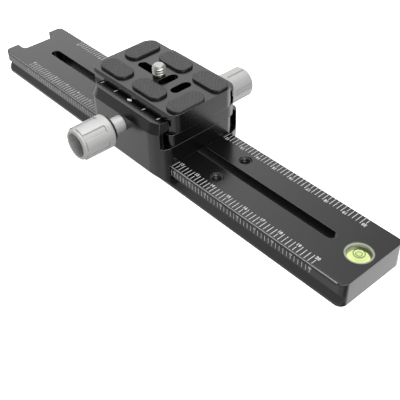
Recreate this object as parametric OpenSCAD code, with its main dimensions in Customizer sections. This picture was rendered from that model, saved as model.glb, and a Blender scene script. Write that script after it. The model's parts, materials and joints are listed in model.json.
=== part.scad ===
// Nodal rail: a scaled dovetail rail with a sliding two-way clamp and a quick-release plate.
// Millimetres. The origin is the middle of the rail's underside, +X points to the end with the level.

/* [Rail] */
// Length of the rail
rail_l = 240; // [200:1:320]
// Width over the rail's edges
rail_w = 37; // [34:0.5:42]
// Thickness of the rail
rail_t = 12; // [11:0.1:15]
// Height of the upper edge, which the carriage grips
flange_t = 5.2; // [4.4:0.1:5.8]
// Height of the lower edge, which a tripod clamp grips
lip_t = 1.2; // [0.8:0.1:1.8]
// Height of the flat at the bottom of each side groove
groove_flat = 0.8; // [0.4:0.1:1.6]
// Chamfer along the rail's top edges
rail_chamfer = 0.6; // [0.2:0.1:1.2]
// Radius of the rail's corners, seen from above
rail_corner_r = 3.5; // [2:0.1:5]
// Length of the slot down the middle
slot_l = 200; // [140:1:205]
// Width of that slot
slot_w = 5; // [4.4:0.1:7]
// Width of the notch in the rail's plain end
notch_w = 20; // [12:0.5:24]
// Depth of that notch
notch_d = 6.4; // [4:0.1:9]
// Radius of the notch's inner corners
notch_r = 2.5; // [1:0.1:3.5]
// Distance of the two tapped holes from the level's end
tap_inset = 79.5; // [60:0.5:95]
// Distance between the two tapped holes
tap_pitch = 17.3; // [14:0.1:20]
// Tap drill radius of the 1/4 inch thread
tap_r = 2.6; // [2.2:0.05:3]
// Countersink round each tapped hole
tap_sink = 0.5; // [0.2:0.1:1]

/* [Level] */
// Distance of the level's centre from the rail's end
level_inset = 8; // [7.5:0.1:10]
// Radius of the level's seat
level_r = 6; // [5:0.1:6.5]
// Depth of the level's seat
level_d = 7; // [5.5:0.1:8]
// Wall of the level's cup
level_wall = 0.7; // [0.5:0.1:1]
// Floor of the level's cup
level_floor = 0.9; // [0.6:0.1:1.4]
// Thickness of the level's lens
level_lens_t = 1.2; // [0.8:0.1:1.6]
// Distance of the level's face below the rail's top
level_sink = 0.2; // [0:0.05:0.5]

/* [Carriage] */
// Place of the carriage's middle along the rail
carriage_x = -5.7; // [-60:0.1:60]
// Length of the carriage and of both jaws
carriage_l = 53; // [46:0.5:64]
// Thickness of the base over the rail
base_h = 9.2; // [8.6:0.1:12]
// Thickness of the near wall beside the slit
wall_t = 4.3; // [4:0.1:6]
// Width of the slits beside the jaws when they are shut
slit_w = 2.6; // [2:0.1:4]
// Radius of the upright corners of the near wall and the plate jaw
wall_corner_r = 8; // [6:0.1:10]
// Radius of the upright corners at the base's far end
base_corner_r = 4.5; // [2:0.1:6]
// Width of the bevel along the near wall's top and the plate jaw's foot
bevel_w = 2.1; // [1:0.1:2.6]
// Height of that bevel
bevel_h = 4.8; // [3:0.1:5.4]
// Set-back of the near wall's two ends over the base
wall_set = 2.4; // [0.5:0.1:3]
// Further set-back of those ends at the wall's top
wall_end_bevel = 1.2; // [0.4:0.1:1.6]
// Bevel under the near wall and the rail jaw
foot_bevel = 3.6; // [2:0.1:3.8]

/* [Plate jaw] */
// Thickness of the plate jaw's slab
slab_h = 6; // [5.6:0.1:8]
// Thickness of the plate jaw's wall
plate_jaw_t = 2.8; // [2.4:0.1:4]
// Radius of the upright corners at the slab's near end
slab_corner_r = 2.5; // [1:0.1:4]
// Height from the top of each plate lip to the foot of its upright tip
lip_tip_h = 3; // [2:0.1:3.2]
// Slope of each plate lip's top, down towards the plate
lip_slope = 9; // [3:0.5:10]
// Flat rim left outside that slope
lip_rim = 0.5; // [0.3:0.1:1]
// Height of the plate jaw's screw over the slab's underside
plate_screw_h = 3.4; // [2.9:0.05:3.5]
// Set-back of the slab's near end from the plate's edge
slab_set = 0.5; // [0.3:0.1:1]

/* [Rail jaw] */
// Thickness of the rail jaw above the rail
rail_jaw_t = 3.2; // [3:0.1:5]
// Distance of the rail jaw's outer face beyond the plate jaw's
rail_jaw_step = 2; // [0:0.1:3]
// Slope of the rail jaw's outer face below the rail's top
rail_jaw_draft = 3; // [1:0.1:3.4]
// Radius of the rail jaw's upright corners
rail_jaw_corner_r = 8; // [4:0.1:8.5]
// Height of the rail jaw's screw over the base's underside
rail_screw_h = 3; // [2.8:0.05:4]
// Place of the rail jaw's screw from the carriage's middle
rail_screw_x = 1.5; // [-6:0.1:6]

/* [Jaw hardware] */
// Radius of both clamp screws
screw_r = 2; // [1.8:0.05:2.2]
// Length of each clamp screw inside its nut thread
screw_grip = 13; // [11:0.5:15]
// Radius of the guide pins
pin_r = 1.5; // [1.2:0.05:1.7]
// Distance of each guide pin from the carriage's middle
pin_x = 17; // [13:0.5:19]
// Length of each guide pin inside its sliding bore
pin_grip = 10; // [8:0.5:13]
// Length of each guide pin in its seat
pin_seat = 2.4; // [2:0.1:2.5]
// Mean radius of both springs
spring_r = 2.65; // [2.6:0.05:2.8]
// Radius of the spring wire
spring_wire_r = 0.3; // [0.25:0.01:0.32]
// Curls of each spring
spring_curls = 3; // [2:1:4]
// Depth of the pocket that holds each spring's outer end
pocket_d = 2.2; // [1.6:0.1:2.6]

/* [Knobs] */
// Radius of the knobs
knob_r = 7.8; // [6.8:0.1:9]
// Length of the knobs
knob_l = 16.3; // [14:0.1:19]
// Flutes round each knob
knob_flutes = 6; // [5:1:8]
// Width of a flute
flute_w = 3; // [2:0.1:4]
// Depth of a flute
flute_d = 0.6; // [0.4:0.05:0.8]
// Length of the stepped rim at the outer end
knob_rim = 1.5; // [1:0.1:2.4]
// Step from the lands between the flutes down to that rim
rim_step = 0.7; // [0.5:0.05:0.9]
// Plain band left at the knob's inner end
knob_band = 3.5; // [2:0.1:5]
// Radius of the hollow in the knob's outer end
cup_r = 5.7; // [5:0.1:6.2]
// Depth of that hollow
cup_d = 7; // [4:0.1:8]
// Solid left between that hollow and the clamp screw's end
knob_web = 1.6; // [1:0.1:2.4]
// Chamfer at both ends of a knob
knob_chamfer = 0.5; // [0.2:0.1:0.7]
// Turn of the first flute on the plate knob
plate_knob_turn = 47; // [0:1:120]
// Turn of the first flute on the rail knob
rail_knob_turn = 50; // [0:1:120]
// Radius of the collars under the knobs
collar_r = 3.85; // [3.4:0.05:4.4]
// Length of the plate knob's collar
plate_collar_l = 6.9; // [5:0.1:9]
// Length of the rail knob's collar, which clears the plate jaw
rail_collar_l = 6.8; // [5:0.1:9]
// Radius of the dark ring between collar and knob
ring_r = 6.4; // [5:0.1:7.4]
// Thickness of that ring
ring_t = 1.4; // [0.8:0.1:2.4]

/* [Plate] */
// Length of the quick-release plate
plate_l = 60; // [54:0.5:70]
// Width of the quick-release plate
plate_w = 38; // [37:0.1:39]
// Thickness of the quick-release plate
plate_h = 9.3; // [9:0.1:12]
// Place of the plate's middle from the carriage's middle, along the rail
plate_x = -3.1; // [-8:0.1:8]
// Place of the plate's middle across the rail
plate_y = 2.1; // [1.6:0.1:2.6]
// Radius of the plate's corners
plate_corner_r = 6; // [4:0.1:8]
// Thickness of the plate's upper edge
plate_flange_t = 2.4; // [1.8:0.1:2.8]
// Depth of the plate's side grooves
plate_groove_d = 1.4; // [1.2:0.1:2]
// Chamfer along the plate's lower edges and on the stud's end
plate_chamfer = 0.5; // [0.2:0.1:0.8]
// Chamfer along the plate's near upper edge
near_edge = 1; // [0.5:0.1:1.1]
// Chamfer along the plate's far upper edge
far_edge = 0.5; // [0.2:0.1:1.1]
// Step above those two chamfers
plate_step = 0.4; // [0.2:0.1:0.5]
// Width of the slots across the plate and of the screw's slot
plate_slot_w = 4.8; // [4.4:0.1:5]
// Length of the two slots across the plate
cross_slot_l = 11; // [8:0.1:12]
// Place of the first cross slot from the plate's middle
cross_slot_x = 5; // [4:0.1:6]
// Distance between the two cross slots
cross_slot_pitch = 9; // [7:0.1:10]

/* [Pads] */
// Height of the pads over the plate
pad_h = 1.3; // [0.5:0.1:1.5]
// Width of the pads
pad_w = 9.4; // [8:0.1:11]
// Length of the pads
pad_l = 18.4; // [15:0.1:18.5]
// Radius of the pads' corners
pad_r = 4; // [2:0.1:4.5]
// Gap between the pads of a row
pad_gap = 5.3; // [3:0.1:5.4]
// Border between the far row and the plate's far edge
far_border = 2.2; // [1:0.1:2.8]
// Border between the near row and the plate's near edge
near_border = 2.9; // [1:0.1:3]
// Distance of the far row's first pad from the plate's end
far_row_start = 2.4; // [1:0.1:3]
// Distance of the near row's first pad from the plate's end
near_row_start = 3; // [1:0.1:3.2]

/* [Camera screw] */
// Radius of the 1/4 inch stud
stud_r = 3.175; // [3:0.005:3.3]
// Height of the stud over the plate
stud_h = 5.2; // [4:0.1:7]
// Gap between the plate and the foot of the stud's thread
stud_gap = 0.6; // [0.2:0.1:1]
// Radius of the neck that runs in the plate's slot
neck_r = 2.3; // [2:0.05:2.35]
// Place of the stud from the plate's middle, along the plate
stud_x = -1.2; // [-3:0.1:-0.6]
// Travel of the stud along its slot
stud_travel = 11.8; // [8:0.1:14]
// Radius of the screw's head under the plate
head_r = 6; // [5:0.1:6.4]
// Height of the screw's head
head_h = 3.6; // [2.5:0.1:3.8]
// Depth of the recess under the plate
recess_d = 5; // [4.9:0.1:6]
// Thickness of the washer over the head
washer_t = 0.5; // [0.3:0.1:0.6]

/* [Fits] */
// Radial clearance of round pieces that turn or slide
run_fit = 0.08; // [0.04:0.01:0.1]
// Radial clearance of round pieces that stay put
seat_fit = 0.02; // [0.01:0.01:0.04]
// Radial clearance of the screws in the walls they pass
pass_fit = 0.1; // [0.06:0.01:0.1]
// Gap between flat faces that slide on each other
slide_gap = 0.1; // [0.06:0.01:0.15]
// Gap between the dovetail flanks when clamped
flank_gap = 0.07; // [0.04:0.01:0.12]
// Gap beside and at the tips of the dovetails
side_gap = 0.4; // [0.3:0.05:0.5]

/* [Hidden] */
$fn = 64;
past = 1;

// Levels, from the rail upwards
groove_d = (rail_t - flange_t - lip_t - groove_flat) / 2;
flange_z = rail_t - flange_t;
base_z0 = rail_t + slide_gap;
base_z1 = base_z0 + base_h;
slab_z0 = base_z1 + slide_gap;
slab_z1 = slab_z0 + slab_h;
plate_z0 = slab_z1 + slide_gap;
plate_z1 = plate_z0 + plate_h;
jaw_top = plate_z1 - plate_flange_t - side_gap;
plate_screw_z = slab_z0 + plate_screw_h;
plate_pin_z = slab_z0 + slab_h / 2;
rail_screw_z = base_z0 + rail_screw_h;
rail_pin_z = base_z0 + base_h / 2;

// Hook that both rail jaws share, measured outwards from the rail's middle
hook_u = rail_w / 2 + side_gap;
hook_tip_u = rail_w / 2 - groove_d + side_gap;
hook_z0 = lip_t + groove_d + slide_gap;
function hook_z(u) = flange_z - (rail_w / 2 - u) - flank_gap;

// Lip that both plate jaws share, measured outwards from the plate's middle
lip_u = plate_w / 2 - plate_groove_d + side_gap;
lip_root_u = plate_w / 2 + side_gap;
function lip_z(u) = jaw_top - lip_tip_h - (u - lip_u);
function lip_top_z(run) = jaw_top - run * tan(lip_slope);

// Places across the rail
slab_near = plate_y - plate_w / 2 - slab_set;
wall_in = slab_near - slit_w;
wall_out = wall_in - wall_t;
plate_jaw_in = plate_y + lip_root_u;
plate_jaw_out = plate_jaw_in + plate_jaw_t;
rail_jaw_out = plate_jaw_out + rail_jaw_step;
rail_jaw_in = rail_jaw_out - rail_jaw_t;
base_far = rail_jaw_in - slit_w;

// Places along the rail
carriage_half = carriage_l / 2;
plate_cx = carriage_x + plate_x;
stud_cx = plate_cx + stud_x;
level_cx = rail_l / 2 - level_inset;
tap_cx = rail_l / 2 - tap_inset;

// Springs
spring_seat_gap = spring_wire_r + side_gap / 2;
pocket_r = spring_r + spring_wire_r + side_gap;
spring_l = slit_w + pocket_d - 2 * spring_seat_gap;
rings_per_curl = 8;
wire_sides = 6;

// Plate hardware
recess_r = head_r + side_gap;
recess_z = plate_z0 + recess_d;
washer_z1 = recess_z - slide_gap;
head_z1 = washer_z1 - washer_t - slide_gap;
head_z0 = head_z1 - head_h;
coin_slot_w = 1.4;
coin_slot_d = 1.2;

// Extrudes a cross-section, drawn as [y, z], along X
module along_x(l) {
  rotate([90, 0, 90]) translate([0, 0, -l / 2]) linear_extrude(l) children();
}

// Rectangle with its own corner radius on the near and the far side
module plan(half_l, y0, y1, near_r, far_r) {
  translate([-half_l, y0 + near_r]) square([2 * half_l, y1 - y0 - near_r - far_r]);
  translate([near_r - half_l, y0]) square([2 * (half_l - near_r), near_r]);
  translate([far_r - half_l, y1 - far_r]) square([2 * (half_l - far_r), far_r]);
  for (s = [-1, 1]) {
    translate([s * (half_l - near_r), y0 + near_r]) circle(near_r);
    translate([s * (half_l - far_r), y1 - far_r]) circle(far_r);
  }
}

// Slot with round ends between two points of a line along X, w wide
module slot_plan(x0, x1, w) {
  translate([x0, -w / 2]) square([x1 - x0, w]);
  for (x = [x0, x1]) translate([x, 0]) circle(w / 2);
}

// Cylinder along +Y from y0 to y1
module rod_y(x, y0, y1, z, r) {
  translate([x, y0, z]) rotate([-90, 0, 0]) cylinder(r = r, h = y1 - y0);
}

// Places a piece whose own +Z points out of the near wall or out of the rail jaw
module on_near_wall() {
  translate([carriage_x, wall_out, plate_screw_z]) rotate([90, 0, 0]) children();
}
module on_rail_jaw() {
  translate([carriage_x + rail_screw_x, rail_jaw_out, rail_screw_z]) rotate([-90, 0, 0]) children();
}

// Rail

module rail_section() {
  u = rail_w / 2;
  half = [
    [u - rail_chamfer, rail_t], [u, rail_t - rail_chamfer], [u, flange_z],
    [u - groove_d, flange_z - groove_d], [u - groove_d, lip_t + groove_d], [u, lip_t], [u, 0]
  ];
  mirrored = [for (i = [len(half) - 1 : -1 : 0]) [-half[i][0], half[i][1]]];
  polygon(concat(half, mirrored));
}

module notch_plan() {
  translate([-rail_l / 2 - past, -notch_w / 2]) square([notch_d + past - notch_r, notch_w]);
  translate([-rail_l / 2, notch_r - notch_w / 2]) square([notch_d, notch_w - 2 * notch_r]);
  for (s = [-1, 1])
    translate([notch_d - notch_r - rail_l / 2, s * (notch_w / 2 - notch_r)]) circle(notch_r);
}

module tapped_hole(y) {
  translate([tap_cx, y, -past]) cylinder(r = tap_r, h = rail_t + 2 * past);
  translate([tap_cx, y, rail_t - tap_sink])
    cylinder(r1 = tap_r, r2 = tap_r + tap_sink + past, h = tap_sink + past);
}

module rail() {
  color([0.22, 0.22, 0.23]) difference() {
    intersection() {
      along_x(rail_l + 2 * past) rail_section();
      translate([0, 0, -past]) linear_extrude(rail_t + 2 * past) difference() {
        plan(rail_l / 2, -rail_w / 2, rail_w / 2, rail_corner_r, rail_corner_r);
        notch_plan();
      }
    }
    translate([0, 0, -past]) linear_extrude(rail_t + 2 * past)
      slot_plan((slot_w - slot_l) / 2, (slot_l - slot_w) / 2, slot_w);
    for (s = [-1, 1]) tapped_hole(s * tap_pitch / 2);
    translate([level_cx, 0, rail_t - level_d]) cylinder(r = level_r, h = level_d + past);
  }
}

// Level

level_z0 = rail_t - level_d + slide_gap;
level_z1 = rail_t - level_sink;
level_in_r = level_r - seat_fit - level_wall;
level_lens_z0 = level_z1 - level_lens_t;

module level_cup() {
  color([0.75, 0.78, 0.35]) translate([level_cx, 0, 0]) difference() {
    translate([0, 0, level_z0]) cylinder(r = level_r - seat_fit, h = level_z1 - level_z0);
    translate([0, 0, level_z0 + level_floor]) cylinder(r = level_in_r, h = level_d);
  }
}

module level_fluid() {
  z0 = level_z0 + level_floor;
  color([0.8, 0.9, 0.2]) translate([level_cx, 0, z0])
    cylinder(r = level_in_r - seat_fit, h = level_lens_z0 - z0 - slide_gap / 2);
}

module level_lens() {
  color([0.9, 0.95, 0.6]) translate([level_cx, 0, level_lens_z0])
    cylinder(r = level_in_r - seat_fit, h = level_lens_t);
}

// Carriage

// Inner shape of the carriage: hook, base, slit and plate lip
module carriage_section() {
  tip_y = plate_y - lip_u;
  root_y = plate_y - lip_root_u;
  rim_y = wall_out + bevel_w + lip_rim;
  polygon([
    [base_far + past, base_z0], [-hook_u, base_z0], [-hook_u, hook_z(hook_u)],
    [-hook_tip_u, hook_z(hook_tip_u)], [-hook_tip_u, hook_z0],
    [wall_out + foot_bevel, hook_z0], [wall_out - past, hook_z0 + foot_bevel + past],
    [wall_out - past, jaw_top + past], [rim_y, jaw_top + past], [rim_y, jaw_top],
    [tip_y, lip_top_z(tip_y - rim_y)], [tip_y, lip_z(lip_u)], [root_y, lip_z(lip_root_u)],
    [wall_in, lip_z(lip_root_u)], [wall_in, base_z1], [base_far + past, base_z1]
  ]);
}

// Top of the near wall, whose bevel goes round both corners as cones
module bevelled_top() {
  r = wall_corner_r;
  z0 = jaw_top - bevel_h;
  y_end = plate_y - lip_u + past;
  straight = carriage_half - r;
  top_half = carriage_half - bevel_w;
  along_x(2 * straight)
    polygon([[wall_out, z0], [wall_out + bevel_w, jaw_top], [y_end, jaw_top], [y_end, z0]]);
  translate([0, y_end, z0]) rotate([90, 0, 0]) linear_extrude(y_end - wall_out - r)
    polygon([[-carriage_half, 0], [carriage_half, 0], [top_half, bevel_h], [-top_half, bevel_h]]);
  for (s = [-1, 1])
    translate([s * straight, wall_out + r, z0]) cylinder(r1 = r, r2 = r - bevel_w, h = bevel_h);
}

// Takes the near wall's end off, down to the base, with a bevel up to its top
module wall_end_cut() {
  cut_l = wall_set + past;
  y_end = plate_y - lip_u + past;
  translate([carriage_half - wall_set, y_end, 0]) rotate([90, 0, 0])
    linear_extrude(y_end - wall_out + past) polygon([
      [0, base_z1], [cut_l, base_z1], [cut_l, jaw_top + past], [-wall_end_bevel, jaw_top + past],
      [-wall_end_bevel, jaw_top], [0, jaw_top - bevel_h]
    ]);
}

module carriage_body() {
  color([0.2, 0.2, 0.21]) translate([carriage_x, 0, 0]) difference() {
    intersection() {
      union() {
        translate([0, 0, hook_z0 - past]) linear_extrude(jaw_top - bevel_h - hook_z0 + past)
          plan(carriage_half, wall_out, base_far, wall_corner_r, base_corner_r);
        bevelled_top();
      }
      along_x(carriage_l + 2 * past) carriage_section();
    }
    for (s = [0, 1]) mirror([s, 0, 0]) wall_end_cut();
    rod_y(0, wall_out - past, wall_in + past, plate_screw_z, screw_r + pass_fit);
    rod_y(0, wall_in - pocket_d, wall_in + past, plate_screw_z, pocket_r);
    rod_y(rail_screw_x, base_far - screw_grip - past, base_far + past, rail_screw_z, screw_r + run_fit);
    for (s = [-1, 1]) {
      rod_y(s * pin_x, wall_in - pin_seat - slide_gap, wall_in + past, plate_pin_z, pin_r + seat_fit);
      rod_y(s * pin_x, base_far - pin_grip - past, base_far + past, rail_pin_z, pin_r + run_fit);
    }
  }
}

// Helical spring as one tube along +Y
function helix(i) =
  let (a = 360 * i / rings_per_curl)
  [spring_r * cos(a), spring_l * i / (spring_curls * rings_per_curl), spring_r * sin(a)];
function wire_ring(i) =
  let (
    a = 360 * i / rings_per_curl,
    out = [cos(a), 0, sin(a)],
    rise = spring_l / spring_curls,
    turn = 2 * PI * spring_r,
    along = [-turn * sin(a), rise, turn * cos(a)] / norm([turn, rise]),
    side = cross(out, along)
  )
  [for (k = [0 : wire_sides - 1])
    let (b = 360 * k / wire_sides) helix(i) + spring_wire_r * (cos(b) * out + sin(b) * side)];

spring_rings = spring_curls * rings_per_curl;
spring_path = [for (i = [0 : spring_rings]) helix(i)];
spring_gap = min([
  for (i = [0 : spring_rings]) for (j = [i + rings_per_curl / 2 : 1 : spring_rings])
    norm(spring_path[j] - spring_path[i])
]) - 2 * spring_wire_r;
echo(least_spring_gap = spring_gap);

module spring() {
  n = wire_sides;
  last = spring_rings * n;
  points = [for (i = [0 : spring_rings]) each wire_ring(i)];
  walls = [
    for (i = [0 : spring_rings - 1]) for (k = [0 : n - 1])
      let (a = i * n + k, b = i * n + (k + 1) % n)
      each [[a, b, b + n], [a, b + n, a + n]]
  ];
  first_cap = [for (k = [1 : n - 2]) [0, k + 1, k]];
  last_cap = [for (k = [1 : n - 2]) [last, last + k, last + k + 1]];
  polyhedron(points, concat(walls, first_cap, last_cap));
}

module plate_jaw_spring() {
  color([0.8, 0.8, 0.82])
    translate([carriage_x, wall_in - pocket_d + spring_seat_gap, plate_screw_z]) spring();
}

module plate_jaw_guide_pins() {
  color([0.78, 0.78, 0.8]) for (s = [-1, 1])
    rod_y(carriage_x + s * pin_x, wall_in - pin_seat, slab_near + pin_grip, plate_pin_z, pin_r);
}

// Plate jaw

module plate_jaw_section() {
  lip_y = plate_y + lip_u;
  rim_y = plate_jaw_out - lip_rim;
  polygon([
    [slab_near - past, slab_z0], [plate_jaw_out - bevel_w, slab_z0], [plate_jaw_out, slab_z0 + bevel_h],
    [plate_jaw_out + past, slab_z0 + bevel_h + past], [plate_jaw_out + past, jaw_top],
    [rim_y, jaw_top], [lip_y, lip_top_z(rim_y - lip_y)], [lip_y, lip_z(lip_u)],
    [plate_jaw_in, lip_z(lip_root_u)], [plate_jaw_in, slab_z1], [slab_near - past, slab_z1]
  ]);
}

module plate_jaw() {
  color([0.21, 0.21, 0.22]) translate([carriage_x, 0, 0]) difference() {
    intersection() {
      translate([0, 0, slab_z0 - past]) linear_extrude(jaw_top - slab_z0 + 2 * past)
        plan(carriage_half, slab_near, plate_jaw_out, slab_corner_r, wall_corner_r);
      along_x(carriage_l + 2 * past) plate_jaw_section();
    }
    rod_y(0, slab_near - past, slab_near + screw_grip + past, plate_screw_z, screw_r + run_fit);
    for (s = [-1, 1])
      rod_y(s * pin_x, slab_near - past, slab_near + pin_grip + past, plate_pin_z, pin_r + run_fit);
  }
}

// Rail jaw

module rail_jaw_section() {
  top = base_z1 - slide_gap;
  low_y = rail_jaw_out - rail_jaw_draft;
  low_z = hook_z0 + foot_bevel;
  polygon([
    [rail_jaw_in, top], [rail_jaw_in, rail_t], [hook_u, rail_t], [hook_u, hook_z(hook_u)],
    [hook_tip_u, hook_z(hook_tip_u)], [hook_tip_u, hook_z0], [low_y - foot_bevel / 2, hook_z0],
    [low_y, low_z], [rail_jaw_out, rail_t], [rail_jaw_out, top - rail_chamfer],
    [rail_jaw_out - rail_chamfer, top]
  ]);
}

module rail_jaw() {
  color([0.2, 0.2, 0.21]) translate([carriage_x, 0, 0]) difference() {
    intersection() {
      along_x(carriage_l + 2 * past) rail_jaw_section();
      translate([0, 0, hook_z0 - past]) linear_extrude(base_z1 - hook_z0 + past)
        plan(carriage_half, hook_tip_u - 2 * past, rail_jaw_out, past, rail_jaw_corner_r);
    }
    rod_y(rail_screw_x, rail_jaw_in - past, rail_jaw_out + past, rail_screw_z, screw_r + pass_fit);
    rod_y(rail_screw_x, rail_jaw_in - past, rail_jaw_in + pocket_d, rail_screw_z, pocket_r);
    for (s = [-1, 1])
      rod_y(s * pin_x, rail_jaw_in - past, rail_jaw_in + pin_seat + slide_gap, rail_pin_z, pin_r + seat_fit);
  }
}

module rail_jaw_guide_pins() {
  color([0.78, 0.78, 0.8]) for (s = [-1, 1])
    rod_y(carriage_x + s * pin_x, base_far - pin_grip, rail_jaw_in + pin_seat, rail_pin_z, pin_r);
}

module rail_jaw_spring() {
  color([0.8, 0.8, 0.82])
    translate([carriage_x + rail_screw_x, base_far + spring_seat_gap, rail_screw_z]) spring();
}

// Knobs: each is a collar, a ring and a fluted knob on one screw, stacked outwards

knob_bore_d = knob_l - cup_d - knob_web;

module clamp_screw(collar_l, wall) {
  z0 = -wall - slit_w - screw_grip;
  z1 = slide_gap + collar_l + ring_t + knob_bore_d;
  color([0.72, 0.72, 0.74]) translate([0, 0, z0]) cylinder(r = screw_r, h = z1 - z0);
}

module clamp_collar(collar_l) {
  color([0.85, 0.85, 0.86]) translate([0, 0, slide_gap]) difference() {
    cylinder(r = collar_r, h = collar_l);
    translate([0, 0, -past]) cylinder(r = screw_r + seat_fit, h = collar_l + 2 * past);
  }
}

module clamp_ring(collar_l) {
  color([0.08, 0.08, 0.08]) translate([0, 0, slide_gap + collar_l]) difference() {
    cylinder(r = ring_r, h = ring_t);
    translate([0, 0, -past]) cylinder(r = screw_r + seat_fit, h = ring_t + 2 * past);
  }
}

module knob_blank() {
  c = knob_chamfer;
  rim_r = knob_r - rim_step;
  rim_z = knob_l - knob_rim;
  rotate_extrude() polygon([
    [0, 0], [knob_r - c, 0], [knob_r, c], [knob_r, rim_z], [rim_r, rim_z], [rim_r, knob_l - c],
    [rim_r - c, knob_l], [0, knob_l]
  ]);
}

module flutes(turn) {
  flute_l = knob_l - knob_band;
  difference() {
    for (i = [0 : knob_flutes - 1]) rotate(turn + 360 * i / knob_flutes)
      translate([knob_r / 2, -flute_w / 2, knob_band]) cube([knob_r, flute_w, flute_l]);
    cylinder(r = knob_r - flute_d, h = knob_l);
  }
}

module clamp_knob(collar_l, turn) {
  color([0.87, 0.87, 0.88]) translate([0, 0, slide_gap + collar_l + ring_t]) difference() {
    knob_blank();
    flutes(turn);
    translate([0, 0, knob_l - cup_d]) cylinder(r = cup_r, h = cup_d + past);
    translate([0, 0, -past]) cylinder(r = screw_r + seat_fit, h = knob_bore_d + past + slide_gap);
  }
}

module plate_clamp_screw() { on_near_wall() clamp_screw(plate_collar_l, wall_t); }
module plate_clamp_collar() { on_near_wall() clamp_collar(plate_collar_l); }
module plate_clamp_ring() { on_near_wall() clamp_ring(plate_collar_l); }
module plate_clamp_knob() { on_near_wall() clamp_knob(plate_collar_l, plate_knob_turn); }
module rail_clamp_screw() { on_rail_jaw() clamp_screw(rail_collar_l, rail_jaw_t); }
module rail_clamp_collar() { on_rail_jaw() clamp_collar(rail_collar_l); }
module rail_clamp_ring() { on_rail_jaw() clamp_ring(rail_collar_l); }
module rail_clamp_knob() { on_rail_jaw() clamp_knob(rail_collar_l, rail_knob_turn); }

// Quick-release plate

// One half of the plate's section, measured outwards from its middle, with its own upper chamfer
function plate_half(edge) =
  let (
    u = plate_w / 2,
    g = u - plate_groove_d,
    c = plate_chamfer,
    flange_z0 = plate_z1 - plate_flange_t,
    step_z = plate_z1 - plate_step
  )
  [
    [u - c, plate_z0], [u, plate_z0 + c], [u, lip_z(u) - flank_gap], [g, lip_z(g) - flank_gap],
    [g, flange_z0], [u, flange_z0], [u, step_z - edge], [u - edge, step_z], [u - edge, plate_z1]
  ];

module quick_plate_section() {
  near = plate_half(near_edge);
  mirrored = [for (i = [len(near) - 1 : -1 : 0]) [-near[i][0], near[i][1]]];
  polygon(concat(plate_half(far_edge), mirrored));
}

module quick_plate() {
  color([0.25, 0.25, 0.26]) translate([plate_cx, plate_y, 0]) difference() {
    intersection() {
      along_x(plate_l + 2 * past) quick_plate_section();
      translate([0, 0, plate_z0 - past]) linear_extrude(plate_h + 2 * past)
        plan(plate_l / 2, -plate_w / 2, plate_w / 2, plate_corner_r, plate_corner_r);
    }
    translate([0, 0, plate_z0 - past]) linear_extrude(plate_h + 2 * past)
      slot_plan(stud_x - stud_travel, stud_x, plate_slot_w);
    translate([0, 0, plate_z0 - past]) linear_extrude(recess_d + past)
      slot_plan(stud_x - stud_travel, stud_x, 2 * recess_r);
    for (i = [0, 1]) translate([cross_slot_x + i * cross_slot_pitch, 0, plate_z0 - past]) rotate(90)
      linear_extrude(plate_h + 2 * past)
        slot_plan((plate_slot_w - cross_slot_l) / 2, (cross_slot_l - plate_slot_w) / 2, plate_slot_w);
  }
}

// Pads: each row has one pad across the plate and two along it

far_y = plate_w / 2 - far_border;
near_y = near_border - plate_w / 2;
far_x = far_row_start - plate_l / 2;
near_x = near_row_start - plate_l / 2;

module pad(x0, y0, size_x, size_y) {
  color([0.3, 0.3, 0.31]) translate([plate_cx + x0 + size_x / 2, plate_y, plate_z1])
    linear_extrude(pad_h) plan(size_x / 2, y0, y0 + size_y, pad_r, pad_r);
}

module pad_far_left() { pad(far_x, far_y - pad_l, pad_w, pad_l); }
module pad_far_middle() { pad(far_x + pad_w + pad_gap, far_y - pad_w, pad_l, pad_w); }
module pad_far_right() { pad(far_x + pad_w + pad_l + 2 * pad_gap, far_y - pad_w, pad_l, pad_w); }
module pad_near_left() { pad(near_x, near_y, pad_l, pad_w); }
module pad_near_middle() { pad(near_x + pad_l + pad_gap, near_y, pad_l, pad_w); }
module pad_near_right() { pad(near_x + 2 * (pad_l + pad_gap), near_y, pad_w, pad_l); }

// Camera screw

module camera_screw_washer() {
  color([0.75, 0.75, 0.76]) translate([stud_cx, plate_y, washer_z1 - washer_t]) difference() {
    cylinder(r = head_r - side_gap, h = washer_t);
    translate([0, 0, -past]) cylinder(r = neck_r + run_fit, h = washer_t + 2 * past);
  }
}

module camera_screw_head() {
  color([0.75, 0.75, 0.76]) translate([stud_cx, plate_y, head_z0]) difference() {
    cylinder(r = head_r, h = head_h);
    translate([0, 0, coin_slot_d + slide_gap]) cylinder(r = neck_r + seat_fit, h = head_h);
    translate([-head_r - past, -coin_slot_w / 2, -past])
      cube([2 * (head_r + past), coin_slot_w, coin_slot_d + past]);
  }
}

module camera_screw() {
  z0 = head_z0 + coin_slot_d + 2 * slide_gap;
  stud_z0 = plate_z1 + stud_gap;
  c = plate_chamfer;
  color([0.82, 0.82, 0.83]) translate([stud_cx, plate_y, 0]) rotate_extrude() polygon([
    [0, z0], [neck_r, z0], [neck_r, stud_z0], [stud_r, stud_z0], [stud_r, plate_z1 + stud_h - c],
    [stud_r - c, plate_z1 + stud_h], [0, plate_z1 + stud_h]
  ]);
}

rail();
level_cup();
level_fluid();
level_lens();
carriage_body();
plate_jaw_guide_pins();
plate_jaw_spring();
plate_jaw();
plate_clamp_screw();
plate_clamp_collar();
plate_clamp_ring();
plate_clamp_knob();
rail_jaw();
rail_jaw_guide_pins();
rail_jaw_spring();
rail_clamp_screw();
rail_clamp_collar();
rail_clamp_ring();
rail_clamp_knob();
quick_plate();
pad_far_left();
pad_far_middle();
pad_far_right();
pad_near_left();
pad_near_middle();
pad_near_right();
camera_screw_washer();
camera_screw_head();
camera_screw();
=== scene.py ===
import json
import math

import bmesh
import bpy
from mathutils import Matrix, Quaternion, Vector


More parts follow.
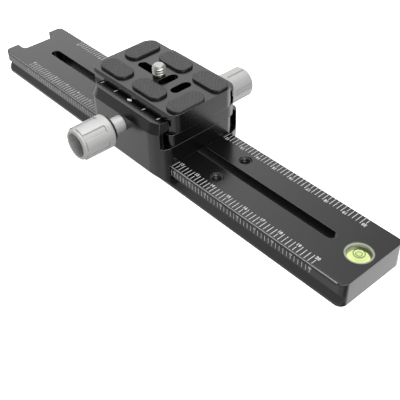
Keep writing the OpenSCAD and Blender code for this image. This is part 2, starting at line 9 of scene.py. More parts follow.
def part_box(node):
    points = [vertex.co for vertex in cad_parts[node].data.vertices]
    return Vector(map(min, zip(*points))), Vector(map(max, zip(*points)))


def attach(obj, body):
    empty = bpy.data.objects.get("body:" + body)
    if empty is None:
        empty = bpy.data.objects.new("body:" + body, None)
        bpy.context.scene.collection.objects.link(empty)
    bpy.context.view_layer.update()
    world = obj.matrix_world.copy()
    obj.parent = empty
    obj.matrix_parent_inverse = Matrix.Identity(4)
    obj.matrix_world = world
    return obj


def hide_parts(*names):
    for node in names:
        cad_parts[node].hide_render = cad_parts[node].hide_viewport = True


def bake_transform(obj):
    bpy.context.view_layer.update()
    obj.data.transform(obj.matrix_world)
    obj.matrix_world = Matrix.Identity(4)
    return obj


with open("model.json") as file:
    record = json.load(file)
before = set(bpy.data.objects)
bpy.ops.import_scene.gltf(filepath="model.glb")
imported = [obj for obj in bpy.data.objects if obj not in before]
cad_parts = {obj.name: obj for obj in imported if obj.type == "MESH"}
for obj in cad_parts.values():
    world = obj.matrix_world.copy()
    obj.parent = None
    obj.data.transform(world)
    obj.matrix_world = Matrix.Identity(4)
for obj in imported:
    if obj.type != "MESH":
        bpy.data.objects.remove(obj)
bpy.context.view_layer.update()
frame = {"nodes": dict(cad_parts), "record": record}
nodes = frame["nodes"]
mm = 0.001
print("frame loaded,", len(nodes), "nodes")


# camera, floor and light

cameraSetup = {
    "place": (229.63, -182.60, 222.33),  # mm
    "turn": (0.83238164, 0.37503595, 0.17720689, 0.36754123),  # w, x, y, z
    "lens": 68.70,
    "sensor": 36.0,
    "clip": (0.01, 20),  # m
}
studio = {
    "floorSize": 6.0,  # m
    "floorDrop": 0.1,  # mm under the rail
    "floorColour": (0.80, 0.80, 0.80),
    "floorRoughness": 0.9,
    "floorShine": 0.1,
    "floorGlow": 1.1,
    "sky": 0.26,
    "lobes": [
        # brighter surroundings: towards, from this cosine on, how much
        ((0.36, 0.62, -0.70), 0.905, 1.45),
        ((-0.85, 0.35, 0.40), 0.68, 1.12),
        ((0.0, 0.82, -0.57), 0.92, 1.2),
        ((-0.90, -0.30, -0.30), 0.82, 1.0),
        ((-0.20, -0.77, -0.60), 0.80, 0.48),
        ((-0.64, -0.58, 0.51), 0.86, 0.4),
        ((0.55, -0.60, -0.58), 0.90, 0.45),
    ],
    "lamps": [
        # name, place mm, aims at mm, size mm, watts
        ("softboxKey", (30, 40, 620), (0, 0, 15), 520, 3.0),
        ("softboxRight", (620, -120, 260), (60, 0, 10), 420, 2.0),
    ],
}


def makeCamera(setup):
    data = bpy.data.cameras.new("camera")
    data.lens = setup["lens"]
    data.sensor_width = setup["sensor"]
    data.clip_start, data.clip_end = setup["clip"]
    camera = bpy.data.objects.new("camera", data)
    bpy.context.scene.collection.objects.link(camera)
    camera.rotation_mode = "QUATERNION"
    camera.location = Vector(setup["place"]) * mm
    camera.rotation_quaternion = Quaternion(setup["turn"])
    bpy.context.scene.camera = camera


def newNode(tree, kind, settings=None, values=None):
    node = tree.nodes.new(kind)
    for key, value in (settings or {}).items():
        setattr(node, key, value)
    for key, value in (values or {}).items():
        node.inputs[key].default_value = value
    return node


def makeWorld(setup):
    world = bpy.data.worlds.new("studioWorld")
    world.use_nodes = True
    tree = world.node_tree
    background = tree.nodes["Background"]
    background.inputs["Color"].default_value = (1, 1, 1, 1)
    ways = newNode(tree, "ShaderNodeTexCoord")
    total = None
    for aim, start, share in setup["lobes"]:
        facing = newNode(tree, "ShaderNodeVectorMath", {"operation": "DOT_PRODUCT"}, {
            1: Vector(aim).normalized()})
        spread = newNode(tree, "ShaderNodeMapRange", {"interpolation_type": "SMOOTHSTEP"}, {
            "From Min": start, "From Max": 1.0, "To Min": 0.0, "To Max": share})
        add = newNode(tree, "ShaderNodeMath", {"operation": "ADD"}, {0: setup["sky"]})
        tree.links.new(ways.outputs["Generated"], facing.inputs[0])
        tree.links.new(facing.outputs["Value"], spread.inputs["Value"])
        tree.links.new(spread.outputs["Result"], add.inputs[1])
        if total:
            tree.links.new(total.outputs["Value"], add.inputs[0])
        total = add
    tree.links.new(total.outputs["Value"], background.inputs["Strength"])
    bpy.context.scene.world = world


def makeStudio(setup):
    half = setup["floorSize"] / 2
    z = -setup["floorDrop"] * mm
    mesh = bpy.data.meshes.new("floor")
    corners = [(-half, -half, z), (half, -half, z), (half, half, z), (-half, half, z)]
    mesh.from_pydata(corners, [], [(0, 1, 2, 3)])
    floor = bpy.data.objects.new("floor", mesh)
    bpy.context.scene.collection.objects.link(floor)
    paint = bpy.data.materials.new("floorPaint")
    paint.use_nodes = True
    shader = paint.node_tree.nodes["Principled BSDF"]
    shader.inputs["Base Color"].default_value = (*setup["floorColour"], 1)
    shader.inputs["Roughness"].default_value = setup["floorRoughness"]
    shader.inputs["Specular IOR Level"].default_value = setup["floorShine"]
    shader.inputs["Emission Color"].default_value = (1, 1, 1, 1)
    # the floor looks white without throwing that glow back at the part
    rays = newNode(paint.node_tree, "ShaderNodeLightPath")
    glow = newNode(paint.node_tree, "ShaderNodeMath", {"operation": "MULTIPLY"}, {1: setup["floorGlow"]})
    paint.node_tree.links.new(rays.outputs["Is Camera Ray"], glow.inputs[0])
    paint.node_tree.links.new(glow.outputs["Value"], shader.inputs["Emission Strength"])
    mesh.materials.append(paint)
    floor.visible_glossy = False
    makeWorld(setup)
    for name, place, aim, size, watts in setup["lamps"]:
        data = bpy.data.lights.new(name, "AREA")
        data.shape = "SQUARE"
        data.size = size * mm
        data.energy = watts
        lamp = bpy.data.objects.new(name, data)
        bpy.context.scene.collection.objects.link(lamp)
        lamp.location = Vector(place) * mm
        lamp.rotation_mode = "QUATERNION"
        lamp.rotation_quaternion = (Vector(aim) - Vector(place)).to_track_quat("-Z", "Y")
    bpy.context.scene.view_settings.view_transform = "Standard"


makeCamera(cameraSetup)
makeStudio(studio)
print("camera and studio set")


# shared effects: blasted grain, handling smudges and edge scuffing, which on the black coat and the
# level's rim is also a painted edge highlight

def groupTree(name, inputs, outputs):
    tree = bpy.data.node_groups.new(name, "ShaderNodeTree")
    for label, kind, value in inputs:
        socket = tree.interface.new_socket(label, in_out="INPUT", socket_type=kind)
        socket.default_value = value
    for label, kind in outputs:
        tree.interface.new_socket(label, in_out="OUTPUT", socket_type=kind)
    return tree, tree.nodes.new("NodeGroupInput"), tree.nodes.new("NodeGroupOutput")


def makeGrainGroup():
    # fine blasted surface: a height for the bump and a value that varies the gloss
    tree, given, made = groupTree(
        "blastedGrain",
        [("Scale", "NodeSocketFloat", 9000.0), ("Low", "NodeSocketFloat", 0.3),
         ("High", "NodeSocketFloat", 0.4)],
        [("Height", "NodeSocketFloat"), ("Gloss", "NodeSocketFloat")],
    )
    coordinates = newNode(tree, "ShaderNodeTexCoord")
    noise = newNode(tree, "ShaderNodeTexNoise", values={"Detail": 3.0, "Roughness": 0.6})
    spread = newNode(tree, "ShaderNodeMapRange", values={"From Min": 0.3, "From Max": 0.7})
    tree.links.new(coordinates.outputs["Object"], noise.inputs["Vector"])
    tree.links.new(given.outputs["Scale"], noise.inputs["Scale"])
    tree.links.new(noise.outputs["Fac"], spread.inputs["Value"])
    tree.links.new(given.outputs["Low"], spread.inputs["To Min"])
    tree.links.new(given.outputs["High"], spread.inputs["To Max"])
    tree.links.new(noise.outputs["Fac"], made.inputs["Height"])
    tree.links.new(spread.outputs["Result"], made.inputs["Gloss"])
    return tree


def makeSmudgeGroup():
    # broad soft patches from handling
    tree, given, made = groupTree(
        "handlingSmudge",
        [("Scale", "NodeSocketFloat", 60.0), ("Amount", "NodeSocketFloat", 0.3)],
        [("Mask", "NodeSocketFloat")],
    )
    coordinates = newNode(tree, "ShaderNodeTexCoord")
    noise = newNode(tree, "ShaderNodeTexNoise", values={
        "Detail": 4.0, "Roughness": 0.55, "Distortion": 0.4})
    cut = newNode(tree, "ShaderNodeMapRange", values={"From Min": 0.45, "From Max": 0.75})
    share = newNode(tree, "ShaderNodeMath", {"operation": "MULTIPLY"})
    tree.links.new(coordinates.outputs["Object"], noise.inputs["Vector"])
    tree.links.new(given.outputs["Scale"], noise.inputs["Scale"])
    tree.links.new(noise.outputs["Fac"], cut.inputs["Value"])
    tree.links.new(cut.outputs["Result"], share.inputs[0])
    tree.links.new(given.outputs["Amount"], share.inputs[1])
    tree.links.new(share.outputs["Value"], made.inputs["Mask"])
    return tree


def makeWearGroup():
    # rounds the edges in the normal and gives a mask of where they are
    tree, given, made = groupTree(
        "edgeWearAndHighlight",
        [("Radius", "NodeSocketFloat", 0.0003), ("Amount", "NodeSocketFloat", 0.5)],
        [("Normal", "NodeSocketVector"), ("Mask", "NodeSocketFloat")],
    )
    rounded = newNode(tree, "ShaderNodeBevel", {"samples": 12})
    surface = newNode(tree, "ShaderNodeNewGeometry")
    dot = newNode(tree, "ShaderNodeVectorMath", {"operation": "DOT_PRODUCT"})
    spread = newNode(tree, "ShaderNodeMapRange", values={"From Min": 0.995, "From Max": 0.80})
    share = newNode(tree, "ShaderNodeMath", {"operation": "MULTIPLY"})
    tree.links.new(given.outputs["Radius"], rounded.inputs["Radius"])
    tree.links.new(rounded.outputs["Normal"], dot.inputs[0])
    tree.links.new(surface.outputs["Normal"], dot.inputs[1])
    tree.links.new(dot.outputs["Value"], spread.inputs["Value"])
    tree.links.new(spread.outputs["Result"], share.inputs[0])
    tree.links.new(given.outputs["Amount"], share.inputs[1])
    tree.links.new(rounded.outputs["Normal"], made.inputs["Normal"])
    tree.links.new(share.outputs["Value"], made.inputs["Mask"])
    return tree


grainGroup = makeGrainGroup()
smudgeGroup = makeSmudgeGroup()
wearAndHighlightGroup = makeWearGroup()


# finishes

grainDepth = 0.00005  # m
finishes = {
    # colour, scuffed edges (on some finishes also a painted edge highlight), where hands have been (on the
    # level's wall its painted lit side)
    # gloss: roughness from low to high, grain per m and its strength, edge radius in m, share of edge
    # scuffing and painted edge highlight
    # smudge: patches per m and their share, plain: what is the same all over
    # black coat: its light edges are partly scuffing and partly a painted highlight
    "blackAnodised": {
        "colour": (0.0016, 0.0016, 0.0017), "worn": (0.22, 0.22, 0.224), "smudgedAndLitSide": (0.003, 0.003, 0.0031),
        "gloss": (0.18, 0.26), "grain": 6500.0, "bump": 0.05, "edge": 0.00026, "wear": 0.8,
        "smudge": (55.0, 0.5), "plain": {"IOR": 1.75, "Metallic": 0.0},
    },
    "satinSilver": {
        "colour": (0.55, 0.55, 0.545), "worn": (0.75, 0.75, 0.75), "smudgedAndLitSide": (0.48, 0.48, 0.475),
        "gloss": (0.52, 0.62), "grain": 5200.0, "bump": 0.06, "edge": 0.0003, "wear": 0.5,
        "smudge": (120.0, 0.35), "plain": {"Metallic": 0.55},
    },
    "turnedSteel": {
        "colour": (0.46, 0.45, 0.435), "worn": (0.6, 0.59, 0.57), "smudgedAndLitSide": (0.38, 0.37, 0.355),
        "gloss": (0.30, 0.40), "grain": 3000.0, "bump": 0.03, "edge": 0.00012, "wear": 0.5,
        "smudge": (300.0, 0.4), "plain": {"Metallic": 1.0},
    },
    "studNickel": {
        "colour": (0.50, 0.49, 0.465), "worn": (0.58, 0.57, 0.54), "smudgedAndLitSide": (0.40, 0.39, 0.37),
        "gloss": (0.22, 0.32), "grain": 3000.0, "bump": 0.04, "edge": 0.00012, "wear": 0.5,
        "smudge": (500.0, 0.5), "plain": {"Metallic": 0.75},
    },
    "springWire": {
        "colour": (0.55, 0.55, 0.56), "worn": (0.7, 0.7, 0.7), "smudgedAndLitSide": (0.42, 0.42, 0.42),
        "gloss": (0.2, 0.3), "grain": 4000.0, "bump": 0.02, "edge": 0.00005, "wear": 0.2,
        "smudge": (400.0, 0.4), "plain": {"Metallic": 1.0},
    },
    "padRubber": {
        "colour": (0.010, 0.010, 0.0102), "worn": (0.03, 0.03, 0.03), "smudgedAndLitSide": (0.014, 0.014, 0.014),
        "gloss": (0.42, 0.52), "grain": 4200.0, "bump": 0.12, "edge": 0.00015, "wear": 0.35,
        "smudge": (160.0, 0.5), "plain": {"IOR": 1.65, "Metallic": 0.0},
    },
    "blackNylon": {
        "colour": (0.010, 0.010, 0.010), "worn": (0.03, 0.03, 0.03), "smudgedAndLitSide": (0.014, 0.014, 0.014),
        "gloss": (0.45, 0.55), "grain": 3600.0, "bump": 0.05, "edge": 0.0002, "wear": 0.3,
        "smudge": (200.0, 0.4), "plain": {"Specular IOR Level": 0.4, "Metallic": 0.0},
    },
    "whiteMark": {
        "colour": (0.66, 0.66, 0.65), "worn": (0.66, 0.66, 0.65), "smudgedAndLitSide": (0.46, 0.46, 0.46),
        "gloss": (0.5, 0.65), "grain": 7000.0, "bump": 0.02, "edge": 0.00002, "wear": 0.0,
        "smudge": (900.0, 0.6), "plain": {"Specular IOR Level": 0.3, "Metallic": 0.0},
    },
    # painted shade of a fine groove on the rail's near side
    "grooveShadePaint": {
        "colour": (0.004, 0.004, 0.004), "worn": (0.01, 0.01, 0.01), "smudgedAndLitSide": (0.008, 0.008, 0.008),
        "gloss": (0.5, 0.6), "grain": 7000.0, "bump": 0.02, "edge": 0.00002, "wear": 0.0,
        "smudge": (300.0, 0.3), "plain": {"Specular IOR Level": 0.2, "Metallic": 0.0},
    },
    # painted highlight for the rail's top chamfers
    "edgeHighlightPaint": {
        "colour": (0.46, 0.46, 0.463), "worn": (0.5, 0.5, 0.5), "smudgedAndLitSide": (0.26, 0.26, 0.262),
        "gloss": (0.3, 0.4), "grain": 6500.0, "bump": 0.02, "edge": 0.00002, "wear": 0.0,
        "smudge": (70.0, 0.7), "plain": {"Metallic": 0.3},
    },
    # level rim: its light edge colour is a painted highlight
    "levelCupPlastic": {
        "colour": (0.34, 0.36, 0.28), "worn": (0.80, 0.82, 0.74), "smudgedAndLitSide": (0.26, 0.30, 0.18),
        "gloss": (0.10, 0.16), "grain": 2500.0, "bump": 0.01, "edge": 0.00022, "wear": 0.9,
        "smudge": (300.0, 0.3), "plain": {"Metallic": 0.0, "IOR": 1.75},
    },
    # level wall: its dark green is painted shade, its second colour a painted lit side
    "levelWallLitAndShaded": {
        "colour": (0.012, 0.045, 0.014), "worn": (0.20, 0.22, 0.16), "smudgedAndLitSide": (0.36, 0.37, 0.32),
        "gloss": (0.12, 0.20), "grain": 2500.0, "bump": 0.01, "edge": 0.0002, "wear": 0.3,
        "smudge": (350.0, 0.5), "tint": "paintedLitSide", "plain": {"Metallic": 0.0},
    },
    # painted light: the fluid glows a little to brighten its yellow-green
    "levelFluidTintAndGlow": {
        "colour": (0.80, 0.93, 0.38), "worn": (0.80, 0.93, 0.40), "smudgedAndLitSide": (0.70, 0.86, 0.30),
        "gloss": (0.1, 0.15), "grain": 700.0, "bump": 0.0, "edge": 0.0001, "wear": 0.0,
        "smudge": (250.0, 0.6),
        "plain": {"Metallic": 0.0, "Emission Color": (0.80, 0.95, 0.38, 1), "Emission Strength": 0.3},
    },
    "levelLensClear": {
        "colour": (0.30, 0.32, 0.24), "worn": (0.5, 0.5, 0.45), "smudgedAndLitSide": (0.26, 0.29, 0.19),
        "gloss": (0.04, 0.08), "grain": 900.0, "bump": 0.0, "edge": 0.0001, "wear": 0.2,
        "smudge": (200.0, 0.2), "plain": {"Metallic": 0.0, "Alpha": 0.07},
    },
    # ink of the ring mark, also the painted shade at the bubble's edge
    "levelInkAndBubbleShade": {
        "colour": (0.045, 0.07, 0.018), "worn": (0.045, 0.07, 0.018), "smudgedAndLitSide": (0.07, 0.10, 0.03),
        "gloss": (0.4, 0.5), "grain": 2000.0, "bump": 0.0, "edge": 0.00005, "wear": 0.0,
        "smudge": (400.0, 0.3), "plain": {"Metallic": 0.0},
    },
    "levelBubbleAir": {
        "colour": (0.62, 0.74, 0.36), "worn": (0.75, 0.82, 0.5), "smudgedAndLitSide": (0.54, 0.68, 0.28),
        "gloss": (0.2, 0.3), "grain": 900.0, "bump": 0.0, "edge": 0.0001, "wear": 0.2,
        "smudge": (500.0, 0.3), "plain": {"Metallic": 0.0, "Alpha": 0.35},
    },
}


def colourSocket(sockets, name):
    # a mix node has one socket of each name for every kind of value
    return next(s for s in sockets if s.name == name and s.type == "RGBA")


def makeFinish(name, look):
    material = bpy.data.materials.new(name)
    material.use_nodes = True
    tree = material.node_tree
    shader = tree.nodes["Principled BSDF"]
    for key, value in look["plain"].items():
        shader.inputs[key].default_value = value
    grain = newNode(tree, "ShaderNodeGroup", {"node_tree": grainGroup}, {
        "Scale": look["grain"], "Low": look["gloss"][0], "High": look["gloss"][1]})
    smudge = newNode(tree, "ShaderNodeGroup", {"node_tree": smudgeGroup}, {
        "Scale": look["smudge"][0], "Amount": look["smudge"][1]})
    wear = newNode(tree, "ShaderNodeGroup", {"node_tree": wearAndHighlightGroup}, {
        "Radius": look["edge"], "Amount": look["wear"]})
    smudgeAndLitMix = newNode(tree, "ShaderNodeMix", {"data_type": "RGBA"})
    scuffedAndLitEdges = newNode(tree, "ShaderNodeMix", {"data_type": "RGBA"})
    bump = newNode(tree, "ShaderNodeBump", values={"Strength": look["bump"], "Distance": grainDepth})
    colourSocket(smudgeAndLitMix.inputs, "A").default_value = (*look["colour"], 1)
    colourSocket(smudgeAndLitMix.inputs, "B").default_value = (*look["smudgedAndLitSide"], 1)
    colourSocket(scuffedAndLitEdges.inputs, "B").default_value = (*look["worn"], 1)
    mask = smudge.outputs["Mask"]
    if "tint" in look:  # the mesh itself says where the second colour goes: the level wall's painted lit side
        mask = newNode(tree, "ShaderNodeAttribute", {"attribute_name": look["tint"]}).outputs["Fac"]
    tree.links.new(mask, smudgeAndLitMix.inputs["Factor"])
    tree.links.new(colourSocket(smudgeAndLitMix.outputs, "Result"), colourSocket(scuffedAndLitEdges.inputs, "A"))
    # edges: scuffing, on some finishes also a painted highlight
    tree.links.new(wear.outputs["Mask"], scuffedAndLitEdges.inputs["Factor"])
    tree.links.new(colourSocket(scuffedAndLitEdges.outputs, "Result"), shader.inputs["Base Color"])
    tree.links.new(grain.outputs["Gloss"], shader.inputs["Roughness"])
    tree.links.new(grain.outputs["Height"], bump.inputs["Height"])
    tree.links.new(wear.outputs["Normal"], bump.inputs["Normal"])
    tree.links.new(bump.outputs["Normal"], shader.inputs["Normal"])
    return material


materials = {name: makeFinish(name, look) for name, look in finishes.items()}
nodeFinish = {
    "anodised_black": "blackAnodised", "silver_aluminium": "satinSilver", "steel": "turnedSteel",
    "spring_steel": "springWire", "pad_rubber": "padRubber", "ring_nylon": "blackNylon",
    "level_body": "levelCupPlastic", "level_fluid": "levelFluidTintAndGlow", "level_lens": "levelLensClear",
}
for part in frame["record"]["subparts"]:
    mesh = nodes[part["node"]].data
    mesh.materials.clear()
    mesh.materials.append(materials[nodeFinish[part["material_slot"]]])
print("finishes made:", len(materials))


# helpers for pieces

def pieceName(node, ending):
    first, *rest = node.split("_")
    return first + "".join(word.capitalize() for word in rest) + ending


def addPiece(name, mesh, finish, body):
    piece = bpy.data.objects.new(name, mesh)
    bpy.context.scene.collection.objects.link(piece)
    mesh.materials.clear()
    mesh.materials.append(materials[finish])
    if body:
        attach(piece, body)
    return piece


def smoothMesh(mesh, angle):
    # edges sharper than the angle stay sharp
    mesh.shade_smooth()
    mesh.set_sharp_from_angle(angle=math.radians(angle))


mergeWithin = 1e-7  # m
collapseWithin = 1e-8
# a bar's faces, with its corners listed along x first and then by its two other ways
barFaces = [(0, 1, 3, 2), (4, 6, 7, 5), (0, 4, 5, 1), (2, 3, 7, 6), (0, 2, 6, 4), (1, 5, 7, 3)]


def meshFrom(name, points, faces, smoothAngle=None):
    mesh = bpy.data.meshes.new(name)
    mesh.from_pydata([tuple(p) for p in points], [], faces)
    work = bmesh.new()
    work.from_mesh(mesh)
    bmesh.ops.remove_doubles(work, verts=work.verts, dist=mergeWithin)
    bmesh.ops.recalc_face_normals(work, faces=work.faces)
    work.to_mesh(mesh)
    work.free()
    if smoothAngle:
        smoothMesh(mesh, smoothAngle)
    return mesh


def lathe(name, centre, profile, sides=64, smoothAngle=35):
    # turns a closed profile of (radius, height) in mm round the upright line through centre
    points, faces = [], []
    for k in range(sides):
        a = 2 * math.pi * k / sides
        for r, z in profile:
            x, y = centre[0] + r * math.cos(a), centre[1] + r * math.sin(a)
            points.append((x * mm, y * mm, z * mm))
    n = len(profile)
    for k in range(sides):
        for i in range(n):
            a, b = k * n + i, k * n + (i + 1) % n
            c, d = ((k + 1) % sides) * n + (i + 1) % n, ((k + 1) % sides) * n + i
            faces.append((a, d, c, b))
    mesh = meshFrom(name, points, faces, smoothAngle)
    work = bmesh.new()
    work.from_mesh(mesh)
    bmesh.ops.dissolve_degenerate(work, edges=work.edges, dist=collapseWithin)
    work.to_mesh(mesh)
    work.free()
    return mesh


def geometryTree(name, inputs):
    tree = bpy.data.node_groups.new(name, "GeometryNodeTree")
    tree.interface.new_socket("Geometry", in_out="INPUT", socket_type="NodeSocketGeometry")
    for label, kind in inputs:
        tree.interface.new_socket(label, in_out="INPUT", socket_type=kind)
    tree.interface.new_socket("Geometry", in_out="OUTPUT", socket_type="NodeSocketGeometry")
    return tree, tree.nodes.new("NodeGroupInput"), tree.nodes.new("NodeGroupOutput")


def closeTree(tree, given, made, lastSocket):
    realize = newNode(tree, "GeometryNodeRealizeInstances")
    paint = newNode(tree, "GeometryNodeSetMaterial")
    tree.links.new(lastSocket, realize.inputs["Geometry"])
    tree.links.new(realize.outputs["Geometry"], paint.inputs["Geometry"])
    tree.links.new(given.outputs["Finish"], paint.inputs["Material"])
    tree.links.new(paint.outputs["Geometry"], made.inputs["Geometry"])


def growMesh(tree, name, values, base=None):
    # runs a tree on a base mesh and keeps the result as a plain mesh
    holder = bpy.data.objects.new(name + "Holder", base or bpy.data.meshes.new(name + "Base"))
    bpy.context.scene.collection.objects.link(holder)
    modifier = holder.modifiers.new("tree", "NODES")
    modifier.node_group = tree
    for socket in tree.interface.items_tree:
        if socket.in_out == "INPUT" and socket.name in values:
            modifier[socket.identifier] = values[socket.name]
    view = bpy.context.evaluated_depsgraph_get()
    mesh = bpy.data.meshes.new_from_object(holder.evaluated_get(view))
    mesh.name = name
    bpy.data.objects.remove(holder)
    return mesh


def joinMeshes(name, meshes):
    work = bmesh.new()
    for mesh in meshes:
        work.from_mesh(mesh)
    joined = bpy.data.meshes.new(name)
    work.to_mesh(joined)
    work.free()
    return joined


# scale on the rail: long ticks every 2 mm, a short tick and a number every 10 mm, and a painted dark strip
# for the shade in a fine groove

scale = {
    "firstTick": -96.8, "ticks": 101, "step": 2.0, "numberEvery": 5,
    "lineWidth": 0.3, "sideLineWidth": 0.22, "lineHeight": 0.03, "topZ": 12.0,
    "outerY": 17.7, "innerY": 13.4, "shortInnerY": 15.2,
    "numberY": 13.95, "numberHeight": 1.5, "numberWeight": 0.07, "capShare": 0.7,  # of the font's size
    "sideY": -18.5, "sideTopZ": 10.4, "sideLowZ": 7.5, "sideShortTopZ": 9.4,
    "sideNumberZ": 9.95, "sideNumberShare": 0.72,
    "grooveShadeZ": 10.85, "grooveShadeHeight": 0.22, "grooveShadeEnds": (-116.5, 116.5),
}


def makeTickTree():
    tree, given, made = geometryTree("tickRow", [
        ("Count", "NodeSocketInt"), ("Start", "NodeSocketVector"), ("Step", "NodeSocketVector"),
        ("Every", "NodeSocketInt"), ("Long Tick", "NodeSocketVector"), ("Short Tick", "NodeSocketVector"),
        ("Short Shift", "NodeSocketVector"), ("Finish", "NodeSocketMaterial")])
    line = newNode(tree, "GeometryNodeMeshLine", {"mode": "OFFSET"})
    longBar = newNode(tree, "GeometryNodeMeshCube")
    shortBar = newNode(tree, "GeometryNodeMeshCube")
    moved = newNode(tree, "GeometryNodeTransform")
    index = newNode(tree, "GeometryNodeInputIndex")
    remainder = newNode(tree, "FunctionNodeIntegerMath", {"operation": "MODULO"})
    isShort = newNode(tree, "FunctionNodeCompare", {"data_type": "INT", "operation": "EQUAL"})
    isLong = newNode(tree, "FunctionNodeBooleanMath", {"operation": "NOT"})
    putLong = newNode(tree, "GeometryNodeInstanceOnPoints")
    putShort = newNode(tree, "GeometryNodeInstanceOnPoints")
    join = newNode(tree, "GeometryNodeJoinGeometry")
    tree.links.new(given.outputs["Count"], line.inputs["Count"])
    tree.links.new(given.outputs["Start"], line.inputs["Start Location"])
    tree.links.new(given.outputs["Step"], line.inputs["Offset"])
    tree.links.new(given.outputs["Long Tick"], longBar.inputs["Size"])
    tree.links.new(given.outputs["Short Tick"], shortBar.inputs["Size"])
    tree.links.new(shortBar.outputs["Mesh"], moved.inputs["Geometry"])
    tree.links.new(given.outputs["Short Shift"], moved.inputs["Translation"])
    tree.links.new(index.outputs["Index"], remainder.inputs[0])
    tree.links.new(given.outputs["Every"], remainder.inputs[1])
    tree.links.new(remainder.outputs[0], isShort.inputs[2])
    tree.links.new(isShort.outputs["Result"], isLong.inputs[0])
    for put, chosen, bar in ((putLong, isLong.outputs[0], longBar.outputs["Mesh"]),
                             (putShort, isShort.outputs["Result"], moved.outputs["Geometry"])):
        tree.links.new(line.outputs["Mesh"], put.inputs["Points"])
        tree.links.new(chosen, put.inputs["Selection"])
        tree.links.new(bar, put.inputs["Instance"])
        tree.links.new(put.outputs["Instances"], join.inputs["Geometry"])
    closeTree(tree, given, made, join.outputs["Geometry"])
    return tree


def numberMesh(label, look):
    curve = bpy.data.curves.new("number" + label, "FONT")
    curve.body = label
    curve.align_x = "CENTER"
    curve.align_y = "CENTER"
    curve.size = look["numberHeight"] / look["capShare"] * mm
    curve.offset = look["numberWeight"] * mm
    curve.extrude = look["lineHeight"] * mm
    curve.resolution_u = 3
    holder = bpy.data.objects.new("number" + label, curve)
    bpy.context.scene.collection.objects.link(holder)
    view = bpy.context.evaluated_depsgraph_get()
    mesh = bpy.data.meshes.new_from_object(holder.evaluated_get(view))
    bpy.data.objects.remove(holder)
    return mesh


def makeScale(look):
    tree = makeTickTree()
    white = materials["whiteMark"]
    meshes = []
    z = look["topZ"] * mm
    firstX, thick = look["firstTick"] * mm, 2 * look["lineHeight"] * mm
    shared = {
        "Count": look["ticks"], "Every": look["numberEvery"],
        "Step": (look["step"] * mm, 0, 0), "Finish": white,
    }
    width = look["lineWidth"] * mm
    longLength = (look["outerY"] - look["innerY"]) * mm
    shortLength = (look["outerY"] - look["shortInnerY"]) * mm
    for side in (-1, 1):
        middle = side * (look["outerY"] + look["innerY"]) / 2
        meshes.append(growMesh(tree, "topTicks", {
            **shared, "Start": (firstX, middle * mm, z),
            "Long Tick": (width, longLength, thick), "Short Tick": (width, shortLength, thick),
            "Short Shift": (0, side * (longLength - shortLength) / 2, 0)}))
    width = look["sideLineWidth"] * mm
    longHigh = (look["sideTopZ"] - look["sideLowZ"]) * mm
    shortHigh = (look["sideShortTopZ"] - look["sideLowZ"]) * mm
    middle = (look["sideTopZ"] + look["sideLowZ"]) / 2
    meshes.append(growMesh(tree, "sideTicks", {
        **shared, "Start": (firstX, look["sideY"] * mm, middle * mm),
        "Long Tick": (width, thick, longHigh), "Short Tick": (width, thick, shortHigh),
        "Short Shift": (0, 0, (shortHigh - longHigh) / 2)}))
    for k in range(look["ticks"] // look["numberEvery"] + 1):
        x = (look["firstTick"] + k * look["step"] * look["numberEvery"]) * mm
        base = numberMesh(str(k), look)
        near, far, side = base, base.copy(), base.copy()
        near.transform(Matrix.Translation((x, -look["numberY"] * mm, z)))
        far.transform(Matrix.Translation((x, look["numberY"] * mm, z)) @ Matrix.Rotation(math.pi, 4, "Z"))
        side.transform(Matrix.Translation((x, look["sideY"] * mm, look["sideNumberZ"] * mm))
                       @ Matrix.Rotation(math.pi / 2, 4, "X") @ Matrix.Scale(look["sideNumberShare"], 4))
        meshes += [near, far, side]
    addPiece("railScale", joinMeshes("railScale", meshes), "whiteMark", "rail")
    # painted shade: a thin dark strip on the near side where a fine groove lies in shadow
    y, h, t = look["sideY"], look["grooveShadeHeight"] / 2, look["lineHeight"]
    corners = [(x, y + s * t, look["grooveShadeZ"] + v * h)
               for x in look["grooveShadeEnds"] for s in (-1, 1) for v in (-1, 1)]
    groove = meshFrom("sideGrooveShade", [Vector(c) * mm for c in corners], barFaces)
    addPiece("sideGrooveShade", groove, "grooveShadePaint", "rail")


makeScale(scale)
print("rail scale made")


# painted highlight: a bright strip on each of the rail's top chamfers, in place of their shine

paintedEdgeHighlight = {"reach": 116.5, "y": 18.2, "z": 11.7, "width": 0.34, "height": 0.03}


def makeRailEdge(look):
    points, faces = [], []
    half, rise = look["width"] / 2, look["height"]
    lean = math.sqrt(0.5)  # the chamfers stand at 45 degrees
    for side in (-1, 1):
        start = len(points)
        for x in (-look["reach"], look["reach"]):
            for across in (-half, half):
                for out in (-rise, rise):
                    y = side * (look["y"] + (out - across) * lean)
                    points.append(Vector((x, y, look["z"] + (out + across) * lean)) * mm)
        faces += [tuple(start + i for i in face) for face in barFaces]
    highlightMesh = meshFrom("railEdgeHighlight", points, faces)
    addPiece("railEdgeHighlight", highlightMesh, "edgeHighlightPaint", "rail")


makeRailEdge(paintedEdgeHighlight)
print("edge lines made")


# index marks on the clamp's near wall: four ticks and a diamond

jawMarks = {
    "centreX": -6.95, "rimY": -21.7, "rimZ": 34.0, "slope": 9.0, "middleY": -17.9, "tick": (0.4, 1.9),
    "reach": (-20.2, -10.1, 10.1, 20.2), "diamond": (1.6, 1.1), "height": 0.03,
}


